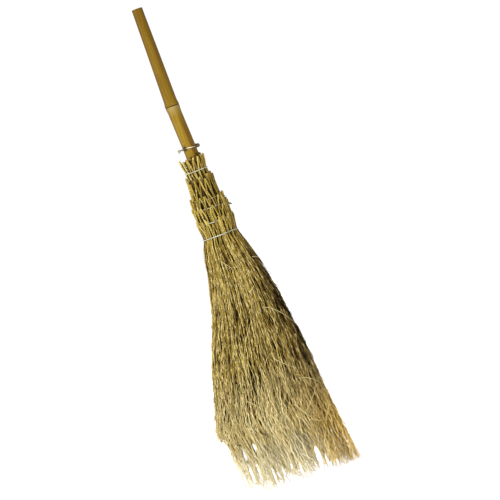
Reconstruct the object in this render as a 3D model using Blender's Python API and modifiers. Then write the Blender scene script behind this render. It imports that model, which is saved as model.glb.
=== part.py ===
"""A twig besom on a bamboo handle.

Five tiers of twigs are laid round the lower half of a bamboo pole, each over the one before, and each
is tied with a wire. A peg and a wire through the pole keep the head from sliding up.

Frame: +Z runs up the handle, Z = 0 is the lowest twig tip, and X = Y = 0 is the middle of the object's
box. The brush is wide along X and flat along Y, and its front looks towards -Y. Units are metres.
"""

import math

import bmesh
import bpy
from mathutils import Vector

# Driving dimensions
LENGTH = 1.200  # lowest tip to the cut top of the handle
SPLAY_LEFT = 0.169  # widest reach of the brush to the left of the handle's axis
SPLAY_RIGHT = 0.139  # and to the right
HANDLE_X = (SPLAY_LEFT - SPLAY_RIGHT) / 2
GAP = 0.0003  # clearance between pieces that touch
PACKING_GAP = 0.0004  # clearance between bunches, measured across the head

# Bamboo handle
CULM_TOP_RADIUS = 0.0134
CULM_RADIUS = 0.0162
CULM_END = 0.560  # height of its lower end, inside the head
CULM_SIDES = 32
NODE_HEIGHTS = (0.950, 0.700)
NODE_SWELL = 0.0017  # how far a node's ridge stands proud
NODE_REACH = 0.011  # height over which a ridge fades out
NODE_STEPS = 4  # rings of points on each side of a ridge
WALL = 0.0058
DIAPHRAGM = 0.003
BORE_SIDES = 20
CUT_EDGE = 0.0005  # worn edge of the sawn ends
LEAN_START = 0.950  # the pole kinks at the upper node
LEAN_END = 0.830  # and straightens again here
LEAN = 0.0052

# Peg and its wire
PEG_HEIGHT = 0.843
PEG_RADIUS = 0.00425
PEG_TURN = math.radians(42)  # the peg's direction, from +X towards +Y
PEG_OUT = 0.0285  # from the pole's axis to the peg's round end
PEG_IN = 0.0140  # from the pole's axis to its sunk end
PEG_DOME = 0.0016  # rounding of its ends
PEG_DOME_STEPS = 3
PEG_SIDES = 20
WIRE_RADIUS = 0.0007
RETAINING_WIRE_RADIUS = 0.0009
HITCH_TURNS = 1.5
HITCH_STEPS_PER_TURN = 10
HITCH_PITCH = 0.0026
HITCH_CLEARANCE = 1.35  # the wire leaves the pole this much wider than the peg
RETAINING_STEPS = 8  # points along each of its two ways round the pole
RETAINING_OPENING = math.radians(9)  # half the angle between its ends where they twist
RETAINING_TWIST_LENGTH = 0.013
RETAINING_TWIST_DROP = 0.18  # how far its twist hangs, for each unit that it stands out
PIGTAIL_PITCH = 0.006
PIGTAIL_STEPS_PER_TURN = 6
PIGTAIL_STANDOFF = 0.0016

# Head: height, reach left and right of the handle's axis, and half depth
HANDLE_ROOM_END = CULM_END - 0.0005  # the first tier leaves room for the handle down to here
BRUSH_CORE_START = CULM_END - 0.0040  # and closes in under it by here
OUTLINE = (
    (0.816, 0.0340, 0.0360, 0.0340),
    (0.785, 0.0262, 0.0282, 0.0268),
    (0.769, 0.0290, 0.0330, 0.0295),
    (0.766, 0.0310, 0.0365, 0.0320),
    (0.710, 0.0362, 0.0402, 0.0350),
    (0.704, 0.0390, 0.0440, 0.0380),
    (0.689, 0.0396, 0.0446, 0.0380),
    (0.683, 0.0426, 0.0482, 0.0406),
    (0.655, 0.0404, 0.0484, 0.0395),
    (0.649, 0.0430, 0.0510, 0.0418),
    (0.621, 0.0384, 0.0462, 0.0365),
    (0.604, 0.0480, 0.0530, 0.0400),
    (HANDLE_ROOM_END, 0.0570, 0.0660, 0.0450),
    (BRUSH_CORE_START, 0.0574, 0.0668, 0.0453),
    (0.521, 0.0640, 0.0765, 0.0480),
    (0.435, 0.0870, 0.0910, 0.0530),
    (0.326, 0.1260, 0.1060, 0.0580),
    (0.175, SPLAY_LEFT, 0.1170, 0.0620),
    (0.075, 0.1600, 0.1290, 0.0620),
    (0.000, 0.1540, SPLAY_RIGHT, 0.0600),
)
TIER_BUTTS = (0.816, 0.766, 0.704, 0.683, 0.649)  # height of each tier's cut ends
TIER_TWIGS = (1.0, 1.1, 0.5, 0.6, 0.9)  # how much of the head each tier makes up
TIER_TIP_STEP = 0.003  # each tier inside the last stops this much higher
WIRE_HEIGHTS = (0.785, 0.710, 0.689, 0.655, 0.621)
WIRE_STANDOFF = 0.0004  # clearance under a binding wire
WIRE_TWISTS = (105, -28, -6, 50, 130)  # degrees round the head of each wire's twisted ends
WIRE_TWIST_LENGTH = 0.011
WIRE_TWIST_DROP = 0.7
CORE_RADIUS = 0.0183  # room for the handle
BRUSH_CORE_RADIUS = 0.003  # open middle of the brush, below the handle
CORE_FADE_TOP = 0.621  # the tiers close in below the last wire
CORE_FADE_END = 0.450
BUNCHES = ("right", "back_right", "back_left", "left", "front_left", "front_right")
BUNCH_TIPS = (0.000, 0.012, 0.006, 0.030, 0.010, 0.008)  # height of each bunch's tips
BUNCH_STEPS = 4  # faces round one bunch, even so that the box reaches its full width
BUNCH_ANGLE = 2 * math.pi / len(BUNCHES)

# Finishes: colour, roughness, metallic
BAMBOO = ((0.32, 0.19, 0.035, 1), 0.42, 0.0)
PEG_WOOD = ((0.16, 0.09, 0.025, 1), 0.60, 0.0)
GALVANISED = ((0.42, 0.45, 0.40, 1), 0.40, 0.9)
TIER_COLOURS = (
    (0.38, 0.26, 0.08, 1),
    (0.34, 0.24, 0.07, 1),
    (0.36, 0.25, 0.08, 1),
    (0.31, 0.21, 0.06, 1),
    (0.40, 0.29, 0.10, 1),
)
TWIG_ROUGHNESS = 0.75
SHARP_EDGE = math.radians(35)


def clear_scene():
    for old in list(bpy.data.objects):
        bpy.data.objects.remove(old, do_unlink=True)


def new_collection(name):
    collection = bpy.data.collections.new(name)
    bpy.context.scene.collection.children.link(collection)
    return collection


def place(name, data, collection):
    piece = bpy.data.objects.new(name, data)
    collection.objects.link(piece)
    return piece


def finish(piece, colour, roughness, metallic):
    """Gives the piece a material of its own."""
    material = bpy.data.materials.new(piece.name + "_finish")
    material.use_nodes = True
    shader = material.node_tree.nodes["Principled BSDF"]
    shader.inputs["Base Color"].default_value = colour
    shader.inputs["Roughness"].default_value = roughness
    shader.inputs["Metallic"].default_value = metallic
    piece.data.materials.clear()
    piece.data.materials.append(material)


def smooth(piece):
    piece.data.shade_smooth()
    piece.data.set_sharp_from_angle(angle=SHARP_EDGE)


def between(table, height):
    """The row of a table at a height, in a line between the rows above and below it. Tops come first."""
    for upper, lower in zip(table, table[1:]):
        if height >= lower[0]:
            share = min(1.0, (upper[0] - height) / (upper[0] - lower[0]))
            return [a + (b - a) * share for a, b in zip(upper, lower)]
    return list(table[-1])


# The handle


def culm_axis(height):
    """X of the handle's axis: it kinks at the upper node and leans to the right down to the head."""
    share = (LEAN_START - height) / (LEAN_START - LEAN_END)
    return HANDLE_X + LEAN * min(1.0, max(0.0, share))


def culm_radius(height):
    """The culm tapers to its top, and each node stands proud as a low ridge."""
    taper = max(0.0, (height - NODE_HEIGHTS[0]) / (LENGTH - NODE_HEIGHTS[0]))
    radius = CULM_RADIUS + (CULM_TOP_RADIUS - CULM_RADIUS) * taper
    for node in NODE_HEIGHTS:
        away = abs(height - node) / NODE_REACH
        if away < 1:
            radius += NODE_SWELL * (1 + math.cos(math.pi * away)) / 2
    return radius


def frozen(piece):
    """Applies the piece's modifiers."""
    depsgraph = bpy.context.evaluated_depsgraph_get()
    mesh = bpy.data.meshes.new_from_object(piece.evaluated_get(depsgraph))
    piece.modifiers.clear()
    piece.data = mesh
    return piece


def turned(name, profile, sides, collection):
    """A solid turned about the handle's axis. The profile runs from the axis down and back to the axis."""
    mesh = bpy.data.meshes.new(name)
    edges = [(i, i + 1) for i in range(len(profile) - 1)]
    mesh.from_pydata([(radius, 0, height) for radius, height in profile], edges, [])
    piece = place(name, mesh, collection)
    screw = piece.modifiers.new("Turn", "SCREW")
    screw.steps = sides
    screw.render_steps = sides
    screw.use_merge_vertices = True
    screw.merge_threshold = 0.00001
    frozen(piece)
    for vertex in piece.data.vertices:
        vertex.co.x += culm_axis(vertex.co.z)
    return piece


def culm_heights():
    """Heights down the culm: close together over the nodes' ridges, far apart between them."""
    heights = [LENGTH - CUT_EDGE, LEAN_END, CULM_END + CUT_EDGE]
    for node in NODE_HEIGHTS:
        heights += [node + NODE_REACH * step / NODE_STEPS for step in range(-NODE_STEPS, NODE_STEPS + 1)]
    return sorted(heights, reverse=True)


def bore_profile(top, bottom, radius):
    """A plain bore, with a ring of points where the handle starts and ends its lean."""
    bends = [height for height in (LEAN_START, LEAN_END) if bottom < height < top]
    return [(0, top)] + [(radius, height) for height in (top, *bends, bottom)] + [(0, bottom)]


def as_cutter(piece):
    piece.hide_render = True
    piece.display_type = "WIRE"
    return piece


def cut(piece, cutter):
    boolean = piece.modifiers.new("Cut " + cutter.name, "BOOLEAN")
    boolean.operation = "DIFFERENCE"
    boolean.solver = "EXACT"
    boolean.object = cutter


def peg_axis():
    """The peg's middle and its outward direction."""
    middle = Vector((culm_axis(PEG_HEIGHT), 0, PEG_HEIGHT))
    outward = Vector((math.cos(PEG_TURN), math.sin(PEG_TURN), 0))
    return middle, outward


def rod(name, start, end, radius, sides, collection):
    """A cylinder from one point to another."""
    mesh = bpy.data.meshes.new(name)
    form = bmesh.new()
    along = end - start
    bmesh.ops.create_cone(
        form, cap_ends=True, segments=sides, radius1=radius, radius2=radius, depth=along.length
    )
    form.to_mesh(mesh)
    form.free()
    piece = place(name, mesh, collection)
    piece.location = (start + end) / 2
    piece.rotation_mode = "QUATERNION"
    piece.rotation_quaternion = along.to_track_quat("Z", "Y")
    return piece


def make_handle(parts, cutters):
    top_edge = culm_radius(LENGTH) - CUT_EDGE
    bottom_edge = culm_radius(CULM_END) - CUT_EDGE
    profile = [(0, LENGTH), (top_edge, LENGTH)]
    profile += [(culm_radius(height), height) for height in culm_heights()]
    profile += [(bottom_edge, CULM_END), (0, CULM_END)]
    culm = turned("handle_culm", profile, CULM_SIDES, parts)

    half = DIAPHRAGM / 2
    upper, lower = NODE_HEIGHTS
    bores = (
        ("upper_bore", LENGTH + DIAPHRAGM, upper + half, CULM_TOP_RADIUS - WALL),
        ("middle_bore", upper - half, lower + half, CULM_RADIUS - WALL),
        ("lower_bore", lower - half, CULM_END - DIAPHRAGM, CULM_RADIUS - WALL),
    )
    for name, top, bottom, radius in bores:
        cut(culm, as_cutter(turned(name, bore_profile(top, bottom, radius), BORE_SIDES, cutters)))

    middle, outward = peg_axis()
    reach = outward * PEG_OUT
    peg_hole = rod("peg_hole", middle - reach, middle + reach, PEG_RADIUS + GAP, PEG_SIDES, cutters)
    cut(culm, as_cutter(peg_hole))
    frozen(culm)
    smooth(culm)
    finish(culm, *BAMBOO)


def make_peg(parts):
    middle, outward = peg_axis()
    peg = rod(
        "retaining_peg", middle - outward * PEG_IN, middle + outward * PEG_OUT, PEG_RADIUS, PEG_SIDES, parts
    )
    bevel = peg.modifiers.new("Rounded ends", "BEVEL")
    bevel.width = PEG_DOME
    bevel.segments = PEG_DOME_STEPS
    bevel.limit_method = "ANGLE"
    smooth(peg)
    finish(peg, *PEG_WOOD)


# The head


def outline_point(height, angle, stand_off=0.0):
    """A point on the outside of the head. The section is an ellipse that reaches left, right and deep."""
    _, left, right, depth = between(OUTLINE, height)
    middle = HANDLE_X + (right - left) / 2
    x = middle + ((left + right) / 2 + stand_off) * math.cos(angle)
    y = (depth + stand_off) * math.sin(angle)
    return Vector((x, y, height))


def core_point(height, angle):
    """A point on the inside of the first tier: round the handle, and nearly closed below its end."""
    if height >= HANDLE_ROOM_END:
        middle, radius = culm_axis(height), CORE_RADIUS
    else:
        _, left, right, _ = between(OUTLINE, height)
        middle, radius = HANDLE_X + (right - left) / 2, BRUSH_CORE_RADIUS
    return Vector((middle + radius * math.cos(angle), radius * math.sin(angle), height))


def tiers_at(height):
    return sum(height <= butt for butt in TIER_BUTTS)


def tier_share(height, tier):
    """Where tier's outer surface lies at a height, from 0 at the middle to 1 at the outside.

    Each tier takes up the head's area by its number of twigs.
    """
    if tier >= tiers_at(height):
        return 1.0
    _, left, right, depth = between(OUTLINE, height)
    outer = math.sqrt((left + right) / 2 * depth)
    fade = min(1.0, max(0.0, (height - CORE_FADE_END) / (CORE_FADE_TOP - CORE_FADE_END)))
    packed_core = CORE_RADIUS * fade
    core = core_point(height, 0).x - core_point(height, math.pi).x
    part = sum(TIER_TWIGS[:tier]) / sum(TIER_TWIGS[: tiers_at(height)])
    surface = math.sqrt(packed_core**2 + (outer**2 - packed_core**2) * part)
    return (surface - core / 2) / (outer - core / 2)


def bunch_ring(height, tier, start):
    """The outline of one bunch at a height: out along its first side, and back along its last."""
    inner, outer = tier_share(height, tier - 1) if tier > 1 else 0.0, tier_share(height, tier)
    ring = []
    for step in range(BUNCH_STEPS + 1):
        angle = start + BUNCH_ANGLE * step / BUNCH_STEPS
        core = core_point(height, angle)
        across = outline_point(height, angle) - core
        away = across.normalized()
        side = Vector((-away.y, away.x, 0)) * PACKING_GAP / 2
        nudge = side * (step == 0) - side * (step == BUNCH_STEPS)
        inside = core + across * inner + nudge
        outside = core + across * outer + nudge
        if tier > 1:
            inside += away * PACKING_GAP / 2
        if tier < tiers_at(height):
            outside -= away * PACKING_GAP / 2
        ring.append((inside, outside))
    return [outside for _, outside in ring] + [inside for inside, _ in reversed(ring)]


def bunch_heights(butt, tip):
    return [butt] + [row[0] for row in OUTLINE if tip < row[0] < butt] + [tip]


def split_band(band, falling):
    """Two triangles from a twisted four-sided face. Bunches that face each other split it the same way."""
    upper_left, lower_left, lower_right, upper_right = band
    if falling:
        return (upper_left, lower_left, lower_right), (upper_left, lower_right, upper_right)
    return (upper_left, lower_left, upper_right), (lower_left, lower_right, upper_right)


def make_bunch(name, tier, number, parts):
    """One bunch of a tier: a loft down the head from its butts to its tips."""
    tip = BUNCH_TIPS[number] + (len(TIER_BUTTS) - tier) * TIER_TIP_STEP
    start = BUNCH_ANGLE * (number - 0.5)
    form = bmesh.new()
    rings = []
    for height in bunch_heights(TIER_BUTTS[tier - 1], tip):
        rings.append([form.verts.new(point) for point in bunch_ring(height, tier, start)])
    for above, below in zip(rings, rings[1:]):
        for i in range(len(above)):
            band = (above[i], below[i], below[(i + 1) % len(above)], above[(i + 1) % len(above)])
            for corners in split_band(band, falling=i < BUNCH_STEPS or i == len(above) - 1):
                form.faces.new(corners)
    for ring in (rings[0], rings[-1]):
        for step in range(BUNCH_STEPS):
            back = len(ring) - 1 - step
            form.faces.new((ring[step], ring[step + 1], ring[back - 1], ring[back]))
    bmesh.ops.recalc_face_normals(form, faces=form.faces)
    mesh = bpy.data.meshes.new(name)
    form.to_mesh(mesh)
    form.free()
    bunch = place(name, mesh, parts)
    smooth(bunch)
    finish(bunch, TIER_COLOURS[tier - 1], TWIG_ROUGHNESS, 0.0)


# The wires


def twist(root, direction, sideways, length, wire_radius, turns_start):
    """One strand of a pigtail, wound round the pigtail's axis from its root to its tip."""
    upward = direction.cross(sideways)
    radius = wire_radius + GAP / 2
    steps = round(length / PIGTAIL_PITCH * PIGTAIL_STEPS_PER_TURN)
    strand = []
    for step in range(steps + 1):
        turn = turns_start + 2 * math.pi * step / PIGTAIL_STEPS_PER_TURN
        along = direction * (length * step / steps)
        strand.append(root + along + sideways * radius * math.cos(turn) + upward * radius * math.sin(turn))
    return strand


def wire(name, points, radius, parts):
    """One length of wire through the points, with closed ends."""
    curve = bpy.data.curves.new(name, "CURVE")
    curve.dimensions = "3D"
    curve.bevel_depth = radius
    curve.bevel_resolution = 2
    curve.use_fill_caps = True
    spline = curve.splines.new("POLY")
    spline.points.add(len(points) - 1)
    for target, point in zip(spline.points, points):
        target.co = (*point, 1)
    piece = place(name, curve, parts)
    finish(piece, *GALVANISED)


def make_binding_wire(number, parts):
    """One turn round the head, its ends twisted together and bent down."""
    height = WIRE_HEIGHTS[number]
    facing = math.radians(WIRE_TWISTS[number])
    stand_off = WIRE_RADIUS + WIRE_STANDOFF
    face_angle = BUNCH_ANGLE / BUNCH_STEPS
    faces_round = BUNCH_STEPS * len(BUNCHES)
    first = math.floor(facing / face_angle) + 1
    ring = [outline_point(height, face_angle * (first + i), stand_off) for i in range(faces_round)]

    root = outline_point(height, facing, stand_off + PIGTAIL_STANDOFF)
    sideways = (ring[0] - ring[-1]).normalized()
    outward = sideways.cross(Vector((0, 0, 1)))
    direction = (outward - Vector((0, 0, WIRE_TWIST_DROP))).normalized()
    first_strand = twist(root, direction, sideways, WIRE_TWIST_LENGTH, WIRE_RADIUS, 0)
    last_strand = twist(root, direction, sideways, WIRE_TWIST_LENGTH, WIRE_RADIUS, math.pi)
    name = "binding_wire_" + str(number + 1)
    wire(name, first_strand[::-1] + ring + last_strand, WIRE_RADIUS, parts)


def hitch(middle, outward, distance):
    """Turns of wire round the peg, working outwards: in at its front side, out at its back."""
    frontward = Vector((outward.y, -outward.x, 0))
    radius = PEG_RADIUS + GAP + RETAINING_WIRE_RADIUS
    steps = round(HITCH_TURNS * HITCH_STEPS_PER_TURN)
    turns = []
    for step in range(steps + 1):
        angle = -2 * math.pi * step / HITCH_STEPS_PER_TURN
        along = outward * (distance + HITCH_PITCH * step / HITCH_STEPS_PER_TURN)
        across = frontward * radius * math.cos(angle) + Vector((0, 0, radius * math.sin(angle)))
        turns.append(middle + along + across)
    return turns


def make_retaining_wire(parts):
    """From the twist at the left, round the front, hitched on the peg, and back round the far side."""
    middle, outward = peg_axis()
    stand_off = GAP + RETAINING_WIRE_RADIUS
    around = culm_radius(PEG_HEIGHT) + stand_off
    facing = math.pi

    def beside_culm(angle, further=0.0):
        reach = around + further
        return middle + Vector((reach * math.cos(angle), reach * math.sin(angle), 0))

    clear = HITCH_CLEARANCE * math.asin((PEG_RADIUS + stand_off) / around)

    def leg(start, end):
        span = (end - start) / RETAINING_STEPS
        return [beside_culm(start + span * step) for step in range(RETAINING_STEPS + 1)]

    front = leg(facing + RETAINING_OPENING, PEG_TURN + 2 * math.pi - clear)
    back = leg(PEG_TURN + clear, facing - RETAINING_OPENING)
    root = beside_culm(facing, PIGTAIL_STANDOFF)
    direction = Vector((-1, 0, -RETAINING_TWIST_DROP)).normalized()
    sideways = Vector((0, -1, 0))
    near, far = (
        twist(root, direction, sideways, RETAINING_TWIST_LENGTH, RETAINING_WIRE_RADIUS, turned_by)
        for turned_by in (0, math.pi)
    )
    turns = hitch(middle, outward, around)
    wire("retaining_wire", near[::-1] + front + turns + back + far, RETAINING_WIRE_RADIUS, parts)


def main():
    clear_scene()
    parts = new_collection("twig_broom")
    cutters = new_collection("cutters")
    make_handle(parts, cutters)
    make_peg(parts)
    for tier in range(1, len(TIER_BUTTS) + 1):
        for number, side in enumerate(BUNCHES):
            make_bunch("tier" + str(tier) + "_bunch_" + side, tier, number, parts)
    for number in range(len(WIRE_HEIGHTS)):
        make_binding_wire(number, parts)
    make_retaining_wire(parts)


main()
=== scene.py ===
"""The looks of a twig broom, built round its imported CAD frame.

The brush is grown twig by twig. Every tier of the CAD frame is read as a sleeve with an inner and an outer
surface, and the tier's stems are laid between the two, from their cut butts down to their frayed tips.
Units are metres, +Z runs up the handle, and the front looks towards -Y.
"""

import math

import bmesh
import bpy
import numpy as np
from mathutils import Matrix, Vector


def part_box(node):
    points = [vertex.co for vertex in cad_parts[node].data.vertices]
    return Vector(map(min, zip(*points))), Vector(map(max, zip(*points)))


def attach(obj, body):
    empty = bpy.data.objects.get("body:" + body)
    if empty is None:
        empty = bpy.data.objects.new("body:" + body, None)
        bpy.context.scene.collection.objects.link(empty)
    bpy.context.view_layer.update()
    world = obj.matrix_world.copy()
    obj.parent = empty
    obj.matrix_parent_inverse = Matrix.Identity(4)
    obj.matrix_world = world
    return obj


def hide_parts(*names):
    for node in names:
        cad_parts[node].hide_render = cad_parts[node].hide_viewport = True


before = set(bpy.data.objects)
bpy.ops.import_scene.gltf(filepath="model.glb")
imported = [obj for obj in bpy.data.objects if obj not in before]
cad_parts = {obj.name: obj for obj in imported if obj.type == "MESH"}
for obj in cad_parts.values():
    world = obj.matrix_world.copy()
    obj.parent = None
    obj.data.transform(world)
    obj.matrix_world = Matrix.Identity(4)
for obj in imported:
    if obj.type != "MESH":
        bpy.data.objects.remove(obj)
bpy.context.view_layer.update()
random = np.random.default_rng(20)

SIDES = ("right", "back_right", "back_left", "left", "front_left", "front_right")
TIERS = 5
BUNCH_ANGLE = 2 * math.pi / len(SIDES)
HAIR = 0.001  # a hair's breadth, which keeps cuts and surfaces clear of each other


def above(value, start, length):
    """0 up to a start, and from there up to 1 over a length."""
    return np.clip((value - start) / length, 0, 1)


def below(value, start, length):
    """0 down to a start, and from there up to 1 over a length."""
    return np.clip((start - value) / length, 0, 1)


def points_of(mesh):
    """The mesh's vertices, a row each."""
    points = np.empty(len(mesh.vertices) * 3)
    mesh.vertices.foreach_get("co", points)
    return points.reshape(-1, 3)


# ---------------------------------------------------------------- the frame as the brush reads it


def bunch_node(tier, side):
    return "tier" + str(tier) + "_bunch_" + side


def slice_nodes(names, height):
    """Middle, half width and half depth of some nodes together at a height."""
    lowest = np.array([np.inf, np.inf])
    highest = -lowest
    for name in names:
        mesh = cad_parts[name].data
        points = points_of(mesh)
        ends = np.empty(len(mesh.edges) * 2, int)
        mesh.edges.foreach_get("vertices", ends)
        first, last = points[ends.reshape(-1, 2)].transpose(1, 0, 2)
        crossing = (first[:, 2] - height) * (last[:, 2] - height) < 0
        first, last = first[crossing], last[crossing]
        share = (height - first[:, 2]) / (last[:, 2] - first[:, 2])
        cuts = first[:, :2] + (last - first)[:, :2] * share[:, None]
        if len(cuts):
            lowest = np.minimum(lowest, cuts.min(axis=0))
            highest = np.maximum(highest, cuts.max(axis=0))
    return (lowest[0] + highest[0]) / 2, (highest[0] - lowest[0]) / 2, (highest[1] - lowest[1]) / 2


class Sleeve:
    """The outer surface of a tier, as an ellipse at each of a row of heights."""

    STEP = 0.006
    RUN = 4  # how many steps set the way that the sides run on below

    def __init__(self, names, lowest, highest):
        self.top = highest
        self.heights = np.arange(lowest, highest - HAIR, self.STEP)
        sections = np.array([slice_nodes(names, height) for height in self.heights])
        padded = np.vstack([sections[:1], sections, sections[-1:]])
        self.sections = (padded[:-2] + 2 * padded[1:-1] + padded[2:]) / 4

    def at(self, height):
        """Middle, half width and half depth. Below the lowest cut the sides run on straight."""
        rise = self.heights[self.RUN] - self.heights[0]
        slope = (self.sections[self.RUN] - self.sections[0]) / rise
        under = np.minimum(0.0, height - self.heights[0])
        columns = [
            np.interp(height, self.heights, column) + under * change
            for column, change in zip(self.sections.T, slope)
        ]
        return np.array(columns)


BRUSH_CLEAR = 0.048  # over this height every bunch is present
culm_low, culm_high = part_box("handle_culm")
tier_nodes = [[bunch_node(tier, side) for side in SIDES] for tier in range(1, TIERS + 1)]
butts = [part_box(names[0])[1][2] for names in tier_nodes]
sleeves = [Sleeve(names, BRUSH_CLEAR, butt) for names, butt in zip(tier_nodes, butts)]
handle_sleeve = Sleeve(["handle_culm"], culm_low[2] + 2 * HAIR, culm_high[2])
HANDLE_X = (culm_low[0] + culm_high[0]) / 2 - HAIR  # its axis: the pole isn't quite straight
CORE_RADIUS = 0.004
CORE_FADE = 0.06  # the first tier closes in under the handle over this height


def core_at(height):
    """The surface that the first tier lies on: the handle, and under it a thread of air."""
    inside = handle_sleeve.at(height)
    under = sleeves[0].at(height)
    buried = np.clip((height - culm_low[2] + CORE_FADE) / CORE_FADE, 0, 1)
    middle = under[0] + (inside[0] - under[0]) * buried
    width = CORE_RADIUS + (inside[1] + HAIR - CORE_RADIUS) * buried
    return np.array([middle, width, width])


def outside_at(height):
    """The outermost surface of the head at a height."""
    outer = sleeves[0].at(height)
    for sleeve in sleeves[1:]:
        outer = np.where(height < sleeve.top, sleeve.at(height), outer)
    return outer


wire_boxes = [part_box("binding_wire_" + str(number)) for number in range(1, TIERS + 1)]


# ---------------------------------------------------------------- tubes


ODD_DIRECTION = (0.3, 0.5, 0.8)  # no path sets out in it
SHARP_TWIG = math.radians(60)


def carried_across(along):
    """A direction across a path at each of its points, carried along it without twisting."""
    side = np.cross(along[0], ODD_DIRECTION)
    across = np.empty_like(along)
    for number, direction in enumerate(along):
        side = side - direction * side.dot(direction)
        side /= np.linalg.norm(side)
        across[number] = side
    return across


class Tubes:
    """Gathers round tubes, and makes them into one closed mesh with the numbers its material reads."""

    NUMBERS = ("tone", "warm", "gloom", "joint", "tip")

    def __init__(self):
        self.points, self.loops, self.totals, self.slots = [], [], [], []
        self.numbers = {name: [] for name in self.NUMBERS}
        self.count = 0

    def add(self, path, radii, sides, across=(0, 1, 0), slant=0.0, cut_slot=1, **numbers):
        """A tube along a path. across is a direction that the path never takes: None for a coiling path."""
        along = np.gradient(path, axis=0)
        along /= np.linalg.norm(along, axis=1)[:, None]
        first = carried_across(along) if across is None else np.cross(along, across)
        first /= np.linalg.norm(first, axis=1)[:, None]
        second = np.cross(along, first)
        turn = 2 * np.pi * np.arange(sides) / sides
        ring = first[:, None] * np.cos(turn)[:, None] + second[:, None] * np.sin(turn)[:, None]
        radii = np.broadcast_to(radii, len(path))
        points = path[:, None] + ring * radii[:, None, None]
        points[0] += along[0] * (slant * radii[0] * np.cos(turn))[:, None]
        self.skin(points.reshape(-1, 3), len(path), sides, cut_slot, numbers)

    def skin(self, points, rings, sides, cut_slot, numbers):
        """Sides and end caps over rings of points."""
        start = self.count
        ring = start + np.arange(rings - 1)[:, None] * sides
        side = np.arange(sides)
        following = (side + 1) % sides
        quads = np.stack([ring + side, ring + following, ring + sides + following, ring + sides + side], -1)
        last = start + (rings - 1) * sides
        self.loops += [quads.reshape(-1), start + side[::-1], last + side]
        self.totals += [np.full((rings - 1) * sides, 4), np.array([sides, sides])]
        self.slots += [np.zeros((rings - 1) * sides, int), np.array([cut_slot, cut_slot])]
        self.points.append(points)
        self.count += len(points)
        for name in self.NUMBERS:
            value = np.broadcast_to(numbers.get(name, 0.0), rings)
            self.numbers[name].append(np.repeat(value, sides))

    def piece(self, name, materials, node, slot):
        """One mesh of all the tubes, which stands for a node of the frame."""
        mesh = bpy.data.meshes.new(name)
        loops, totals = np.concatenate(self.loops), np.concatenate(self.totals)
        mesh.vertices.add(self.count)
        mesh.vertices.foreach_set("co", np.concatenate(self.points).astype(np.float32).reshape(-1))
        mesh.loops.add(len(loops))
        mesh.loops.foreach_set("vertex_index", loops)
        mesh.polygons.add(len(totals))
        mesh.polygons.foreach_set("loop_start", np.cumsum(totals) - totals)
        mesh.polygons.foreach_set("loop_total", totals)
        mesh.polygons.foreach_set("material_index", np.concatenate(self.slots))
        for key, values in self.numbers.items():
            paint(mesh, key, np.concatenate(values))
        mesh.update(calc_edges=True)
        mesh.shade_smooth()
        mesh.set_sharp_from_angle(angle=SHARP_TWIG)
        return stand_for(show(name, mesh, materials), node)


def paint(mesh, name, values):
    """Give a mesh's vertices a number that its material reads."""
    mesh.attributes.new(name, "FLOAT", "POINT").data.foreach_set("value", values.astype(np.float32))


def stand_for(piece, node):
    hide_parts(node)
    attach(piece, "root")
    return piece


def into_scene(name, data):
    made = bpy.data.objects.new(name, data)
    bpy.context.scene.collection.objects.link(made)
    return made


def show(name, mesh, materials):
    piece = into_scene(name, mesh)
    for material in materials:
        mesh.materials.append(material)
    return piece


# ---------------------------------------------------------------- materials


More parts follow.
